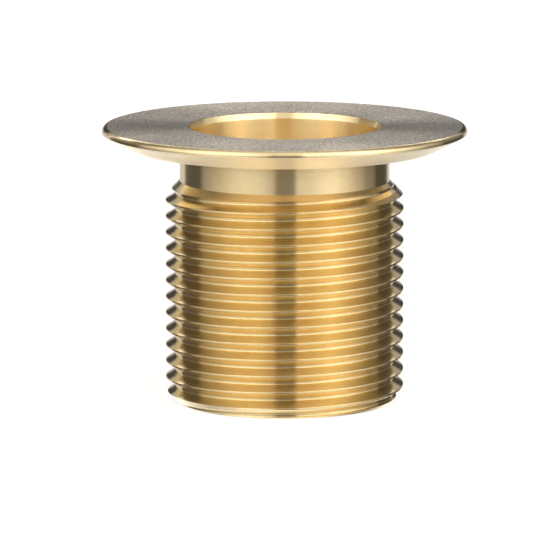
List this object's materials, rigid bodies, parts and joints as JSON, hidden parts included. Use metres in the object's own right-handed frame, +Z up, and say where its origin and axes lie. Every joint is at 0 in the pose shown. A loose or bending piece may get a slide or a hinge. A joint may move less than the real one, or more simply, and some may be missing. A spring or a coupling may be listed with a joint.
{
  "type": "thru hull fitting",
  "caption": "Turned brass fitting that passes water through a hull: bevelled flange with a flat seat, relief neck, straight external thread and a plain through bore.",
  "frame": {"origin": "centre of the threaded end face, on the bore axis, which is the surface the fitting stands on", "axes": "+Z up the bore from the threaded end to the flange; the thread starts its lowest crest on the -X side"},
  "size_m": [0.0406, 0.0406, 0.0309],
  "materials": {
    "turned_brass": "as turned, bright, fine tool marks; flange face greyer and matte"
  },
  "bodies": {
    "root": {"hull_fitting_body": "turned_brass"}
  },
  "joints": []
}
